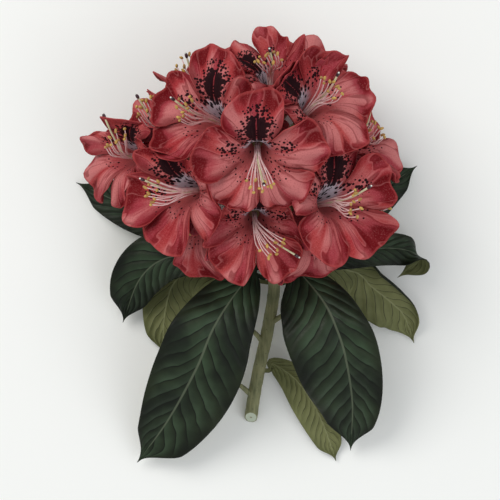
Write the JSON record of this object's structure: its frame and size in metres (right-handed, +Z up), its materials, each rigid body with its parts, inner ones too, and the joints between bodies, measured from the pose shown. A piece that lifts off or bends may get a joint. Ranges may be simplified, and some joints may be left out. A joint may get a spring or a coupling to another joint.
{
  "type": "cut rhododendron branch",
  "caption": "Cut flowering branch of a rhododendron: a woody stem, a whorl of long leathery leaves and a domed truss of ruffled funnel blooms.",
  "frame": {"origin": "centre of the box of the branch in plan, on the surface that it lies on", "axes": "+Y along the stem from its cut end towards the blooms, +Z up from the surface, +X to the right seen from above with the blooms away from the viewer"},
  "size_m": [0.1974, 0.2406, 0.1335],
  "materials": {
    "bark": "fine ridged olive bark",
    "leaf": "leathery, half gloss",
    "leaf_underside": "matt, veined",
    "petal": "soft, ruffled"
  },
  "bodies": {
    "root": {"stem": "bark", "leaf_front_left": "leaf", "leaf_front_right": "leaf", "leaf_right_mid": "leaf", "leaf_right_low": "leaf_underside", "leaf_right_top": "leaf", "leaf_left_top": "leaf", "leaf_left_mid": "leaf", "leaf_left_low": "leaf_underside", "leaf_lower": "leaf_underside", "bloom_centre": "petal", "bloom_upper_left": "petal", "bloom_left": "petal", "bloom_far_left": "petal", "bloom_left_shoulder": "petal", "bloom_top_shoulder": "petal", "bloom_top": "petal", "bloom_top_right": "petal", "bloom_upper_right": "petal", "bloom_right": "petal", "bloom_far_right": "petal", "bloom_right_shoulder": "petal", "bloom_low": "petal", "bloom_low_right": "petal", "bloom_low_left": "petal", "bloom_back_left": "petal", "bloom_back_top": "petal", "bloom_back_right": "petal", "bloom_back": "petal"}
  },
  "joints": []
}
